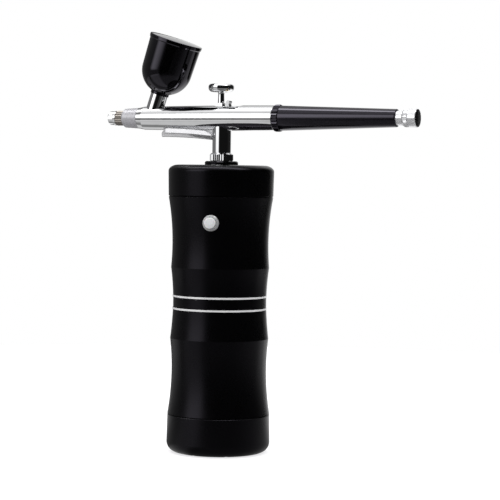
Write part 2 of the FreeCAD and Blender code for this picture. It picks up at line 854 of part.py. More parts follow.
@node
def airbrush_body():
    """Barrel with the trigger slot, the cup's seat and the bores for needle and valve."""
    tail_r = 4.3
    barrel = turned(
        (0, BARREL_S),
        (BARREL_LIP_R - 0.1, BARREL_S),
        (BARREL_LIP_R, BARREL_S + 0.1),
        (BARREL_FRONT_R, BARREL_S + 2.7),
        ((5.3, -12.0), (BARREL_R, 8.0)),
        (BARREL_R, BARREL_END_S - 0.15),
        (BARREL_R - 0.15, BARREL_END_S),
        (tail_r, BARREL_END_S),
        (tail_r, SPIGOT_END_S),
        (0, SPIGOT_END_S),
    )
    bores = [
        rod(3.63, BARREL_S - 1, BARREL_S + 4.6),
        rod(1.1, BARREL_S, -20.0),
        rod(1.95, -26.0, 0.0),
        rod(3.4, -5.0, SPIGOT_END_S + 1),
    ]
    hollow = along_barrel(barrel.cut(bores))
    end_r = SLOT_WIDTH / 2
    slot_middles = (SLOT_S[0] + end_r, SLOT_S[1] - end_r)
    cuts = [rod(end_r, AXIS_Z, AXIS_Z + 10, x=s) for s in slot_middles]
    cuts.append(block(slot_middles, (-end_r, end_r), (AXIS_Z, AXIS_Z + 10)))
    cuts.append(rod(3.0, AXIS_Z - 8, AXIS_Z))
    cuts.append(block((0, 3.4), (-1.75, 1.75), (AXIS_Z - 4.2, AXIS_Z)))
    cuts.append(on_cup_axis(rod(1.6, 0, 10)))
    return hollow.cut(cuts)


@node
def spray_head():
    """Tapered head in the front of the barrel."""
    head = turned(
        (1.1, BARREL_S + 4.5),
        (1.1, -41.0),
        (2.08, -41.0),
        (2.08, HEAD_S),
        (3.4, HEAD_S),
        (4.1, HEAD_S + 0.9),
        (BARREL_LIP_R, BARREL_S - 0.1),
        (BARREL_LIP_R - 0.1, BARREL_S - TINY),
        (3.6, BARREL_S - TINY),
        (3.6, BARREL_S + 4.5),
    )
    return along_barrel(head)


@node
def nozzle():
    """Fine tapered nozzle around the needle's point."""
    shape = turned(
        (1.05, -41.05),
        (2.05, -41.05),
        (2.05, HEAD_S + 0.5),
        (1.5, HEAD_S),
        (0.6, -51.6),
        (0.3, -51.6),
    )
    return along_barrel(shape)


@node
def nozzle_cap():
    """Dark knurled air cap over the nozzle."""
    front = NOZZLE_CAP_S
    back = HEAD_S - TINY
    ridges = knurled(3.25, 0.22, 24, front, back)
    trim = turned((0, front), (3.0, front), (3.25, front + 0.3), (3.25, back), (0, back))
    boss = rod(2.2, front - 0.9, front + 0.1)
    room = turned(
        (0, front - 2),
        (0.95, front - 2),
        (0.95, front + 0.6),
        (2.3, front + 1.6),
        (2.3, back + 1),
        (0, back + 1),
    )
    return along_barrel(joined(ridges.common(trim), boss).cut(room))


@node
def needle_cap():
    """Crown around the needle's point, with open slots between its prongs."""
    front = NEEDLE_CAP_S
    back = NOZZLE_CAP_S - TINY
    crown = turned(
        (2.2 + FIT, back),
        (3.15, back),
        (3.15, back - 0.9),
        (3.0, back - 1.1),
        (2.9, front + 0.3),
        (2.75, front),
        (2.2, front),
        (2.0, back - 1.2),
        (2.2 + FIT, back - 1.2),
    )
    slot = block((1.0, 4.0), (-0.55, 0.55), (front - 1, front + 2.4))
    return along_barrel(crown.cut(around(slot, 6, start=30.0)))


@node
def cup_neck():
    """Bright neck between the barrel and the paint cup."""
    spigot_top = 11.8
    neck = turned(
        (1.6, 0.0),
        (NECK_R, 0.0),
        (NECK_R, NECK_TOP - TINY),
        (2.6, NECK_TOP - TINY),
        (2.6, spigot_top),
        (1.6, spigot_top),
    )
    barrel_room = along_barrel(rod(BARREL_FRONT_R + 0.2, -50, 0))
    return on_cup_axis(neck).cut(barrel_room)


@node
def paint_cup():
    """Round-bottomed paint cup, open at the top."""
    middle = math.sqrt(0.5)
    inner_r = CUP_BOWL_R - CUP_WALL
    spout_r = 2.6 + FIT
    foot_h = CUP_BOWL_H - math.sqrt(CUP_BOWL_R**2 - 4.05**2)
    drain_h = CUP_BOWL_H - math.sqrt(inner_r**2 - spout_r**2)
    outer_mid = (CUP_BOWL_R * middle, CUP_BOWL_H - CUP_BOWL_R * middle)
    inner_mid = (inner_r * middle, CUP_BOWL_H - inner_r * middle)
    cup = turned(
        (spout_r, NECK_TOP),
        (4.05, NECK_TOP),
        (4.05, foot_h),
        (outer_mid, (CUP_BOWL_R, CUP_BOWL_H)),
        (CUP_RIM_R, CUP_RIM_H - 0.9),
        (CUP_RIM_R + 0.3, CUP_RIM_H - 0.5),
        (CUP_RIM_R + 0.3, CUP_RIM_H),
        (CUP_RIM_R - CUP_WALL, CUP_RIM_H),
        (inner_r, CUP_BOWL_H),
        (inner_mid, (spout_r, drain_h)),
    )
    return on_cup_axis(cup)


@node
def cup_lid():
    """Lid with a plug ring, a soft dome and a vent hole."""
    skirt = LID_TOP - 0.25
    lid = turned(
        (0.6, CUP_RIM_H + 0.3),
        (9.3, CUP_RIM_H + 0.3),
        (9.3, CUP_RIM_H - 1.5),
        (10.1, CUP_RIM_H - 1.5),
        (10.1, CUP_RIM_H + TINY),
        (LID_R, CUP_RIM_H + TINY),
        (LID_R, skirt - 0.3),
        ((LID_R - 0.09, skirt - 0.09), (LID_R - 0.3, skirt)),
        ((6.2, LID_TOP + 0.12), (0.6, LID_TOP + 0.3)),
    )
    return on_cup_axis(lid)


# ---------------------------------------------------------------- needle and its spring


@node
def needle():
    """Steel needle with a long fine taper."""
    taper_s = -38.0
    shape = turned(
        (0, NEEDLE_TIP_S),
        (0.04, NEEDLE_TIP_S),
        (NEEDLE_R, taper_s),
        (NEEDLE_R, NEEDLE_END_S - 0.3),
        (0.3, NEEDLE_END_S),
        (0, NEEDLE_END_S),
    )
    return along_barrel(shape)


@node
def needle_packing():
    """Seal that the needle slides through behind the paint channel."""
    return along_barrel(tube(1.95 - TINY, NEEDLE_R + RUN, -26.0 + TINY, -22.0))


@node
def chuck_tube():
    """Sliding tube that carries the needle and takes the spring's push."""
    bore_r = NEEDLE_R + TINY
    shape = turned(
        (bore_r, 5.8),
        (1.3, 5.8),
        (1.7, 6.2),
        (1.7, 10.0),
        (3.2, 10.0),
        (3.2, 12.0),
        (1.7, 12.0),
        (1.7, 46.0),
        (bore_r, 46.0),
    )
    return along_barrel(shape)


@node
def needle_spring():
    """Compression spring between the chuck tube's flange and the spring guide."""
    return along_barrel(coil(2.3, 0.25, 12.05, 34.2, 8.5))


@node
def spring_guide():
    """Threaded case in the barrel's tail, which holds the spring."""
    guide = turned(
        (2.85, 20.0),
        (3.37, 20.0),
        (3.37, SPIGOT_END_S + 0.05),
        (3.85, SPIGOT_END_S + 0.05),
        (3.85, 36.0),
        (1.7 + RUN, 36.0),
        (1.7 + RUN, 34.3),
        (2.85, 34.3),
    )
    return along_barrel(guide)


@node
def chuck_nut():
    """Knurled nut that locks the needle in the chuck tube."""
    ridges = knurled(3.0, 0.2, 20, 42.0, 47.0)
    hollow = [rod(1.7 + TINY, 41.0, 46.0 + TINY), rod(NEEDLE_R + TINY, 41.0, 48.0)]
    return along_barrel(ridges.cut(hollow))


# ---------------------------------------------------------------- trigger and air valve


@node
def trigger():
    """Two-way trigger: finger pad, stem with the needle's slot, and ball foot."""
    underside_z = 153.3
    rim_z = 155.1
    pad = turned(
        (0, underside_z + 0.1),
        (PAD_R - 1.6, underside_z),
        ((PAD_R - 0.35, underside_z + 0.65), (PAD_R, rim_z)),
        ((PAD_R - 0.3, rim_z + 1.15), (PAD_R - 1.1, TRIGGER_TOP_Z)),
        crown(PAD_R - 1.1, TRIGGER_TOP_Z, TRIGGER_TOP_Z - 0.35),
    )
    stem = turned(
        (0, 147.6),
        (1.5, 147.6),
        ((1.35, 150.0), (1.3, 152.2)),
        ((1.5, 153.0), (2.1, underside_z + 0.2)),
        (0, underside_z + 0.2),
    )
    pad.translate(Vector(PAD_LEAD, 0, 0))
    stem.translate(Vector(PAD_LEAD, 0, 0))
    blade = block((-1.3, 0.65), (-1.6, 1.6), (140.9, 148.5))
    leg = rod(1.15, PIVOT_Z, 141.1)
    ball = Part.makeSphere(BALL_R, Vector(0, 0, PIVOT_Z))
    window = block((-3, 3), (-0.85, 0.85), (141.2, 145.9))
    return joined(pad, stem, blade, leg, ball).cut(window)


@node
def auxiliary_lever():
    """Back lever behind the trigger, leaning forward, with a hook at its top."""
    x, z = LEVER_PIVOT
    side = outline(
        (x - 0.7, z),
        (x - 2.8, z + 8.1),
        ((x - 2.5, z + 9.3), (x - 1.8, z + 9.7)),
        ((x - 1.2, z + 9.5), (x - 1.0, z + 9.0)),
        (x - 1.4, z + 8.2),
        (x + 0.7, z),
    )
    plate = Part.Face(side).extrude(Vector(0, 2.8, 0))
    plate.translate(Vector(0, -1.4, 0))
    foot = Part.makeCylinder(0.75, 2.8, Vector(x, -1.4, z), ACROSS)
    window = block((x - 3, x + 2), (-0.85, 0.85), (AXIS_Z - 1.35, AXIS_Z + 1.65))
    return joined(plate, foot).cut(window)


@node
def valve_stem():
    """Air valve's casing: soldered under the barrel, its lower end enters the socket."""
    top = AXIS_Z
    stem = turned(
        (2.4, STEM_END_Z),
        (STEM_END_R - 0.3, STEM_END_Z),
        (STEM_END_R, STEM_END_Z + 0.3),
        (STEM_END_R, NUT_TOP_Z),
        (STEM_R - 0.15, NUT_TOP_Z),
        (STEM_R, NUT_TOP_Z + 0.15),
        (STEM_R, top),
        (3.0, top),
        (3.0, 129.9),
        (0.98, 129.9),
        (0.98, 128.9),
        (2.4, 128.9),
    )
    barrel_room = along_barrel(rod(BARREL_R + TINY, -20, 20))
    return stem.cut(barrel_room)


@node
def valve_plunger():
    """Plunger that the trigger pushes down to let air through."""
    plunger = turned(
        (0, 126.9),
        (0.7, 126.9),
        (0.7, 127.6),
        (2.0, 127.6),
        (2.0, 128.85),
        (0.93, 128.85),
        (0.93, 132.0),
        (2.6, 132.0),
        (2.6, 134.0),
        (0, 134.0),
    )
    cup = Part.makeSphere(BALL_R + 0.08, Vector(0, 0, PIVOT_Z))
    return plunger.cut(cup)


@node
def valve_spring():
    """Spring that lifts the plunger."""
    return coil(1.6, 0.2, 121.55, 127.55, 5.5)


@node
def valve_seat_screw():
    """Hollow screw in the stem's lower end, under the spring."""
    screw = tube(2.4 - FIT, 0.8, 119.5, 121.5)
    slot = block((-3, 3), (-0.3, 0.3), (119.0, 120.1))
    return screw.cut(slot)


@node
def finger_rest():
    """Dished blade under the barrel, soldered to the valve stem."""
    half_width = 4.4
    outer_r = 6.2
    sheet = 1.1
    start_x, end_x = -28.2, -3.0
    bottom = (134.0, 132.6)
    inner_r = outer_r - sheet
    drop = math.sqrt(outer_r**2 - half_width**2)
    inner_drop = math.sqrt(inner_r**2 - half_width**2)
    centre_z = bottom[0] + outer_r

    def at(y, below):
        return Vector(start_x, y, centre_z - below)

    section = Part.Wire(
        [
            Part.Arc(at(-half_width, drop), at(0, outer_r), at(half_width, drop)).toShape(),
            Part.makeLine(at(half_width, drop), at(half_width, inner_drop)),
            Part.Arc(at(half_width, inner_drop), at(0, inner_r), at(-half_width, inner_drop)).toShape(),
            Part.makeLine(at(-half_width, inner_drop), at(-half_width, drop)),
        ]
    )
    fall = bottom[0] - bottom[1]
    middle_x = (start_x + end_x) / 2
    path = Part.Arc(
        Vector(start_x, 0, bottom[0]),
        Vector(middle_x, 0, bottom[0] - fall / 4),
        Vector(end_x, 0, bottom[1]),
    ).toShape()
    blade = Part.Wire(path).makePipeShell([section], True, False)
    tip_x = start_x + half_width
    plan = rod(half_width, 120, 150, x=tip_x)
    plan = plan.fuse(block((tip_x, end_x), (-half_width - 1, half_width + 1), (120, 150)))
    stem_room = rod(STEM_R + TINY, 120, 150)
    barrel_room = along_barrel(rod(BARREL_R + TINY, -40, 10))
    fallen_edge = outline(
        (-14.0, 137.9),
        ((-8.0, 137.2), (-3.0, 134.9)),
        (-3.0, 141.0),
        (-14.0, 141.0),
    )
    above_edge = Part.Face(fallen_edge).extrude(Vector(0, 2 * outer_r, 0))
    above_edge.translate(Vector(0, -outer_r, 0))
    return blade.common(plan).cut([stem_room, barrel_room, above_edge])


# ---------------------------------------------------------------- handle and preset knob


@node
def handle():
    """Tapered handle with a knurled collar, which covers the chuck nut."""
    edge = 0.5
    bend = edge * (1 - math.cos(math.pi / 4))
    cone = turned(
        (0, HANDLE_COLLAR_S - 0.1),
        (HANDLE_FRONT_R - 0.3, HANDLE_COLLAR_S - 0.1),
        (HANDLE_FRONT_R, HANDLE_COLLAR_S + 0.2),
        (HANDLE_BACK_R, HANDLE_END_S - edge),
        ((HANDLE_BACK_R - bend, HANDLE_END_S - bend), (HANDLE_BACK_R - edge, HANDLE_END_S)),
        (0, HANDLE_END_S),
    )
    knurl = 0.35
    collar = knurled(HANDLE_COLLAR_R, knurl, 28, BARREL_END_S + TINY, HANDLE_COLLAR_S)
    trim = turned(
        (0, BARREL_END_S),
        (HANDLE_COLLAR_R - knurl, BARREL_END_S),
        (HANDLE_COLLAR_R, BARREL_END_S + knurl),
        (HANDLE_COLLAR_R, HANDLE_COLLAR_S - knurl),
        (HANDLE_COLLAR_R - knurl, HANDLE_COLLAR_S),
        (0, HANDLE_COLLAR_S),
    )
    bores = [
        rod(4.3 + FIT, 20.0, 33.0),
        rod(4.0, 20.0, 37.0),
        rod(3.3, 30.0, 53.0),
        rod(1.9, 50.0, 80.0),
        rod(SLEEVE_R + RUN, 76.4, 80.0),
    ]
    return along_barrel(joined(cone, collar.common(trim)).cut(bores))


@node
def preset_stem():
    """Threaded rod that limits the needle's travel, with its bright sleeve."""
    shape = turned(
        (0, 53.2),
        (0.9, 53.2),
        (0.9, 69.0),
        (1.85, 69.0),
        (1.85, 79.0),
        (SLEEVE_R, 79.0),
        (SLEEVE_R, SLEEVE_END_S - TINY),
        (1.2, SLEEVE_END_S - TINY),
        (1.2, 85.0),
        (0, 85.0),
    )
    return along_barrel(shape)


@node
def preset_knob():
    """Preset knob: a knurled flare, a groove, then a plain band with a dished end."""
    front = SLEEVE_END_S
    groove = front + 2.4
    knurl = 0.15
    flare_r = KNOB_R - 0.1
    groove_r = KNOB_R - 0.6
    ridges = knurled(flare_r, knurl, 48, front, groove)
    flare = turned(
        (0, front),
        (SLEEVE_R + 0.05, front),
        (flare_r - knurl, front + 0.7),
        (flare_r, front + 1.1),
        (flare_r, groove - 0.15),
        (flare_r - knurl, groove),
        (0, groove),
    )
    band = turned(
        (0, groove - TINY),
        (groove_r, groove - TINY),
        (groove_r, groove + 0.4),
        (KNOB_R - 0.2, groove + 0.4),
        (KNOB_R, groove + 0.6),
        (KNOB_R, KNOB_END_S - 0.3),
        (KNOB_R - 0.3, KNOB_END_S),
        (0, KNOB_END_S),
    )
    dish = rod(KNOB_R - 0.4, KNOB_END_S - 0.6, KNOB_END_S + 1)
    bore = rod(1.2 + RUN, front - 1, 85.0 + RUN)
    return along_barrel(joined(ridges.common(flare), band).cut([dish, bore]))


def main():
    os.makedirs("parts", exist_ok=True)
    for name, maker in NODES.items():
        shape = maker()
        shape.translate(Vector(0, 0, FOOT_STAND))
        shape.exportStep(os.path.join("parts", name + ".step"))


main()
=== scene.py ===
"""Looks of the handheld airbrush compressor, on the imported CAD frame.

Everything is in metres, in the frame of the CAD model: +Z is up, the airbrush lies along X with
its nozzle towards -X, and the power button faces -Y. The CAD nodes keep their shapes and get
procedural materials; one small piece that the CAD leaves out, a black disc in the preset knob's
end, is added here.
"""

import json
import math

import bmesh
import bpy
from mathutils import Matrix, Vector


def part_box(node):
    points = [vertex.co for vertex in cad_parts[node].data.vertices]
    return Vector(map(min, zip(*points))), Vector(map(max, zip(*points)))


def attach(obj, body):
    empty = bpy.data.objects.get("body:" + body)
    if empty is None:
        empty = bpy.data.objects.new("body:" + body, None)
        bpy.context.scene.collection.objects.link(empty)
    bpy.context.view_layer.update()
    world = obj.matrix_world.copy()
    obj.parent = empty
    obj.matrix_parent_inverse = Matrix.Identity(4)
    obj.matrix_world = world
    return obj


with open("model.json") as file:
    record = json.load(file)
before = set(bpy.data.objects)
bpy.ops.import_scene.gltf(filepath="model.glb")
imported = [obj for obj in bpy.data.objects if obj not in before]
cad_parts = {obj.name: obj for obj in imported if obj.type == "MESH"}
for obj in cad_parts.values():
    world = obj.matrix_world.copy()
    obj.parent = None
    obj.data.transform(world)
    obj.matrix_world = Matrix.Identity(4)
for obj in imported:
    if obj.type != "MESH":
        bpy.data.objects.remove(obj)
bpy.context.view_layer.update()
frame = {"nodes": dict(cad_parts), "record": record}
NODES = frame["nodes"]
SLOT_OF = {part["node"]: part["material_slot"] for part in frame["record"]["subparts"]}

MM = 0.001

# Camera: where the photographer stood, as seen from the compressor's axis.
CAMERA_DISTANCE = 0.7975
CAMERA_AZIMUTH = 24.65
EYE_HEIGHT = 0.1184
PAN_RIGHT = 0.914
PITCH_DOWN = 2.25
ROLL_LEFT = 0.776
LENS_MM = 133.8
SENSOR_MM = 36.0
CLIP_NEAR = 0.01
CLIP_FAR = 50.0

# Light, as the radiance that reflections see, where 1 renders as white. Azimuth is measured in
# degrees from the camera towards its left, and elevation from the horizon. A pair of angles says
# where a light starts and where it is at full strength. In a pair of pairs, the second pair says
# where it starts to fade and where it is gone.
FRONT_DARK = 0.006
CEILING = 0.85
CEILING_FROM = (34, 50)
LEFT_GLOW = 0.16
LEFT_GLOW_FROM = (30, 46)
RIGHT_GLOW = 0.012
RIGHT_GLOW_FROM = (-62, -90)
RIGHT_WALL = 0.9
RIGHT_WALL_FROM = (-130, -172)
SOFTBOX_SIDES = ((34, 44), (68, 88))
SOFTBOX_UPRIGHT = ((-5, 4), (26, 44))
SOFTBOX_LOW = 1.5
SOFTBOX_MIDDLE = 2.7
SOFTBOX_BRIGHTENS = (2, 15)

# A strip light along X over the object. STRIP_OVER is measured round X, from the horizon at -Y.
STRIP_LIGHT = 6.0
STRIP_OVER = ((76, 82), (96, 99))
STRIP_ABOVE = (42, 52)

# White table: its paper as the camera sees it, and then its radiance in reflections, which is
# higher at the left, at the right, behind, and in a strip behind the object.
TABLE_RADIUS = 0.5
TABLE_SIDES = 96
TABLE_WHITE = 0.38
TABLE_SELF_LIT = 0.7
TABLE_TINT = (0.99, 0.985, 1.0)
TABLE_NEAR = 0.2
TABLE_FAR = 0.04
TABLE_FADES = (0.2, 0.4)
TABLE_LEFT = 0.34
TABLE_LEFT_BETWEEN = ((34, 50), (80, 98))
TABLE_LEFT_FAR = 0.3
TABLE_FAR_FROM = (0.25, 0.45)
TABLE_RIGHT = 0.2
TABLE_RIGHT_FROM = (-20, -90)
TABLE_BEHIND = 0.5
TABLE_BEHIND_FROM = (-110, -155)
TABLE_STRIP = 0.38
TABLE_STRIP_BEHIND = ((0.05, 0.09), (0.22, 0.35))

# What the camera sees behind the object, and the even light that matt surfaces receive.
BACKDROP_SEEN = 1.0
EVEN_LIGHT = 1.2

# Factors on a point's coordinates before its noise is read. The small ones stretch the noise into
# fine lines that run round an axis, or into thin layers.
EVEN = (1, 1, 1)
AROUND_Z = (0.05, 0.05, 1.0)
AROUND_X = (1.0, 0.05, 0.05)
LAYERED = (0.01, 0.01, 1.0)

# Levels of the noise, of 0 to 1, between which a finish changes, and how much it changes.
PATCH_SPAN = (0.3, 0.7)
GRAIN_SPAN = (0.35, 0.65)
DULLING_SPAN = (0.35, 0.75)
TARNISH_SPAN = (0.3, 0.8)
GRAIN_LIGHTENS = 1.6
TARNISH_DARKENS = 0.93
PATCH_DARKENS = 0.85
GRAIN_SMOOTHS = 0.05
GRAIN_ROUGHENS = 0.08

# Handling patches to a metre, on each kind of surface.
COATING_PATCHES = 90.0
PLATING_PATCHES = 140.0
PLASTIC_PATCHES = 160.0

# Tint of the reflection on black coating, and how far light travels inside plastic.
COATING_TINT = (0.88, 0.83, 1.0)
GLOW_REACH = 0.5 * MM

# Black disc in the preset knob's end: a plug in the dish, and a bevelled lip over the rim.
INSERT_PLUG_R = 3.41 * MM
INSERT_PLUG_DEPTH = 0.6 * MM
INSERT_RIM_GAP = 0.02 * MM
INSERT_LIP_R = 3.7 * MM
INSERT_LIP_THICK = 0.14 * MM
INSERT_BEVEL = (0.08 * MM, 0.06 * MM)
REVOLVED_SIDES = 64


# ---------------------------------------------------------------- node helpers


class Graph:
    """Short calls that build one node tree."""

    # Sockets of the Mix node in colour mode: factor, first and second colour, and result.
    COLOUR_MIX_INPUTS = (0, 6, 7)
    COLOUR_MIX_OUTPUT = 2

    def __init__(self, tree):
        self.tree = tree
        tree.nodes.clear()

    def add(self, kind, **inputs):
        """Adds a node. Inputs are values or sockets, by name with _ for a space."""
        made = self.tree.nodes.new(kind)
        for name, value in inputs.items():
            self.feed(made.inputs[name.replace("_", " ")], value)
        return made

    def feed(self, socket, value):
        """Links a socket to the input, or sets the input to a value."""
        if isinstance(value, bpy.types.NodeSocket):
            self.tree.links.new(value, socket)
        else:
            socket.default_value = value

    def math(self, operation, *values):
        """The result of one Math node."""
        made = self.tree.nodes.new("ShaderNodeMath")
        made.operation = operation
        for index, value in enumerate(values):
            self.feed(made.inputs[index], value)
        return made.outputs[0]

    def vector(self, operation, *values):
        """The result of one Vector Math node: a number or a vector, as the operation gives."""
        made = self.tree.nodes.new("ShaderNodeVectorMath")
        made.operation = operation
        for index, value in enumerate(values):
            self.feed(made.inputs[index], value)
        return made.outputs["Value" if operation in ("DOT_PRODUCT", "LENGTH") else "Vector"]

    def place(self):
        """Position on the piece at rest, in metres. It moves with the piece."""
        return self.tree.nodes.new("ShaderNodeTexCoord").outputs["Object"]

    def stretched(self, factors):
        """The position times a factor along each axis."""
        return self.vector("MULTIPLY", self.place(), factors)

    def noise(self, vector, scale, detail=3.0, roughness=0.5):
        """Smooth noise, mostly between 0.3 and 0.7."""
        made = self.add("ShaderNodeTexNoise", Vector=vector, Scale=scale)
        made.inputs["Detail"].default_value = detail
        made.inputs["Roughness"].default_value = roughness
        return made.outputs["Fac"]

    def between(self, value, low, high, start=0.0, end=1.0):
        """Maps a value from low..high to start..end, eased and clamped."""
        made = self.tree.nodes.new("ShaderNodeMapRange")
        made.interpolation_type = "SMOOTHSTEP"
        names = ("Value", "From Min", "From Max", "To Min", "To Max")
        for name, number in zip(names, (value, low, high, start, end)):
            self.feed(made.inputs[name], number)
        return made.outputs["Result"]

    def blend(self, factor, first, second):
        """First where the factor is nought, second where it is one."""
        change = self.math("SUBTRACT", second, first)
        return self.math("MULTIPLY_ADD", factor, change, first)

    def mix_colour(self, factor, first, second):
        """The first colour where the factor is nought, the second where it is one."""
        made = self.tree.nodes.new("ShaderNodeMix")
        made.data_type = "RGBA"
        for socket, value in zip(self.COLOUR_MIX_INPUTS, (factor, first, second)):
            self.feed(made.inputs[socket], value)
        return made.outputs[self.COLOUR_MIX_OUTPUT]

    def bump(self, height, distance):
        """A normal tilted by a height, which goes up to a distance in metres."""
        made = self.add("ShaderNodeBump", Height=height, Distance=distance, Strength=1.0)
        return made.outputs["Normal"]


def rgba(level, green=None, blue=None):
    """A colour from one grey level or from three channels."""
    return (level, level if green is None else green, level if blue is None else blue, 1.0)


def surface(name):
    """A new material with its graph and its Principled shader."""
    material = bpy.data.materials.new(name)
    material.use_nodes = True
    graph = Graph(material.node_tree)
    shader = graph.add("ShaderNodeBsdfPrincipled")
    output = graph.add("ShaderNodeOutputMaterial")
    graph.tree.links.new(shader.outputs["BSDF"], output.inputs["Surface"])
    return material, graph, shader


def shaded(colour, factor):
    """The colour made darker or lighter by a factor, with its alpha kept at 1."""
    return rgba(*[channel * factor for channel in colour[:3]])


def smudges(graph, scale):
    """Broad uneven patches, as handling leaves on a smooth surface."""
    return graph.noise(graph.place(), scale, detail=4.0, roughness=0.6)


# ---------------------------------------------------------------- materials


def coated(name, colour, gloss, roughness, spread, grain_scale, grain_depth, lines=EVEN):
    """Black coating over metal: very dark, with a weak clear reflection and a fine grain."""
    material, graph, shader = surface(name)
    grain = graph.noise(graph.stretched(lines), grain_scale, detail=2.0)
    patches = smudges(graph, COATING_PATCHES)
    rough = graph.between(patches, *PATCH_SPAN, roughness - spread, roughness + spread)
    lightened = graph.between(grain, *GRAIN_SPAN)
    tint = graph.mix_colour(lightened, colour, shaded(colour, GRAIN_LIGHTENS))
    graph.feed(shader.inputs["Base Color"], tint)
    graph.feed(shader.inputs["Roughness"], rough)
    graph.feed(shader.inputs["Specular IOR Level"], gloss)
    graph.feed(shader.inputs["Specular Tint"], rgba(*COATING_TINT))
    graph.feed(shader.inputs["Normal"], graph.bump(grain, grain_depth))
    return material


def plated(name, colour, roughness, spread, grain_scale, grain_depth, lines=EVEN, metal=1.0):
    """Metal plating with faint turning lines and handling patches."""
    material, graph, shader = surface(name)
    turning = graph.noise(graph.stretched(lines), grain_scale, detail=3.0, roughness=0.6)
    patches = smudges(graph, PLATING_PATCHES)
    rough = graph.between(patches, *DULLING_SPAN, roughness, roughness + spread)
    tarnished = graph.between(patches, *TARNISH_SPAN)
    tint = graph.mix_colour(tarnished, colour, shaded(colour, TARNISH_DARKENS))
    graph.feed(shader.inputs["Base Color"], tint)
    graph.feed(shader.inputs["Metallic"], metal)
    graph.feed(shader.inputs["Roughness"], rough)
    graph.feed(shader.inputs["Normal"], graph.bump(turning, grain_depth))
    return material


def moulded(name, colour, roughness, grain_scale, grain_depth, gloss=0.5, glow=0.0):
    """Plastic or rubber with a moulded grain; glow is the share of light carried inside it."""
    material, graph, shader = surface(name)
    grain = graph.noise(graph.place(), grain_scale, detail=2.0)
    patches = smudges(graph, PLASTIC_PATCHES)
    darkened = graph.between(patches, *PATCH_SPAN)
    tint = graph.mix_colour(darkened, colour, shaded(colour, PATCH_DARKENS))
    rough = graph.between(grain, *PATCH_SPAN, roughness - GRAIN_SMOOTHS, roughness + GRAIN_ROUGHENS)
    graph.feed(shader.inputs["Base Color"], tint)
    graph.feed(shader.inputs["Roughness"], rough)
    graph.feed(shader.inputs["Specular IOR Level"], gloss)
    graph.feed(shader.inputs["Subsurface Weight"], glow)
    graph.feed(shader.inputs["Subsurface Scale"], GLOW_REACH)
    graph.feed(shader.inputs["Normal"], graph.bump(grain, grain_depth))
    return material


# Each finish: the function that makes it, and its values in that function's order. They are
#   coated   colour, gloss, roughness, its spread, grain scale and depth, and stretch of the grain
#   plated   colour, roughness, its spread, grain scale and depth, stretch, and share of metal
#   moulded  colour, roughness, grain scale and depth, gloss, and glow
FINISHES = {
    "black_shell": (coated, rgba(0.0005), 0.18, 0.28, 0.02, 5200, 0.003 * MM),
    "band": (coated, rgba(0.0006), 0.18, 0.28, 0.04, 9000, 0.008 * MM, AROUND_Z),
    "black_collar": (coated, rgba(0.0008), 0.16, 0.16, 0.03, 7000, 0.004 * MM, AROUND_Z),
    "gloss_black": (coated, rgba(0.0005), 0.52, 0.05, 0.02, 900, 0.0005 * MM),
    "handle_black": (coated, rgba(0.0035, 0.0031, 0.0042), 0.52, 0.07, 0.02, 900, 0.0005 * MM),
    "black_plastic": (moulded, rgba(0.004), 0.42, 4200, 0.02 * MM, 0.2),
    "rubber": (moulded, rgba(0.006), 0.72, 3000, 0.03 * MM, 0.15),
    "white_button": (moulded, rgba(0.72, 0.73, 0.74), 0.3, 3500, 0.004 * MM, 0.5, 0.1),
    "circuit_board": (moulded, rgba(0.02, 0.12, 0.05), 0.4, 2500, 0.02 * MM),
    "cell_wrap": (moulded, rgba(0.03, 0.12, 0.4), 0.3, 2500, 0.01 * MM),
    "pump_plastic": (moulded, rgba(0.72, 0.71, 0.66), 0.45, 3500, 0.02 * MM, 0.5, 0.2),
    "silicone": (moulded, rgba(0.78, 0.78, 0.76), 0.5, 3500, 0.01 * MM, 0.4, 0.5),
    "seal": (moulded, rgba(0.84, 0.84, 0.82), 0.5, 3500, 0.01 * MM, 0.4, 0.4),
    "bright_trim": (plated, rgba(0.9, 0.9, 0.91), 0.14, 0.06, 9000, 0.006 * MM, AROUND_Z, 0.25),
    "chrome": (plated, rgba(0.93, 0.935, 0.945), 0.025, 0.04, 4000, 0.0012 * MM, AROUND_X),
    "satin_chrome": (plated, rgba(0.9, 0.9, 0.92), 0.16, 0.05, 6000, 0.002 * MM, AROUND_X, 0.6),
    "satin_nickel": (plated, rgba(0.44, 0.435, 0.46), 0.3, 0.05, 9000, 0.004 * MM, AROUND_X, 0.2),
    "dark_nozzle": (plated, rgba(0.24, 0.22, 0.2), 0.22, 0.08, 9000, 0.008 * MM, AROUND_X),
    "plain_steel": (plated, rgba(0.62, 0.62, 0.63), 0.22, 0.08, 9000, 0.006 * MM, AROUND_X),
    "bezel": (plated, rgba(0.5, 0.505, 0.51), 0.34, 0.06, 9000, 0.006 * MM, EVEN, 0.45),
    "nickel": (plated, rgba(0.7, 0.68, 0.62), 0.25, 0.1, 5000, 0.005 * MM),
    "motor_steel": (plated, rgba(0.56), 0.32, 0.1, 9000, 0.006 * MM, AROUND_Z),
    "copper_core": (plated, rgba(0.55, 0.36, 0.24), 0.4, 0.1, 9000, 0.05 * MM, LAYERED),
    "brass": (plated, rgba(0.78, 0.58, 0.26), 0.16, 0.1, 9000, 0.006 * MM, AROUND_X),
}

# Nodes whose finish differs a little from the rest of their slot.
FINISH_OF = {
    "spray_head": "satin_nickel",
    "finger_rest": "satin_chrome",
    "preset_knob": "satin_chrome",
    "preset_stem": "satin_chrome",
    "handle": "handle_black",
}


def paint_nodes():
    """Gives every CAD node its finish, and returns the materials by finish."""
    made = {}
    for name, piece in NODES.items():
        finish = FINISH_OF.get(name, SLOT_OF[name])
        if finish not in made:
            maker, *values = FINISHES[finish]
            made[finish] = maker(finish, *values)
        piece.data.materials.clear()
        piece.data.materials.append(made[finish])
    return made


# ---------------------------------------------------------------- added pieces


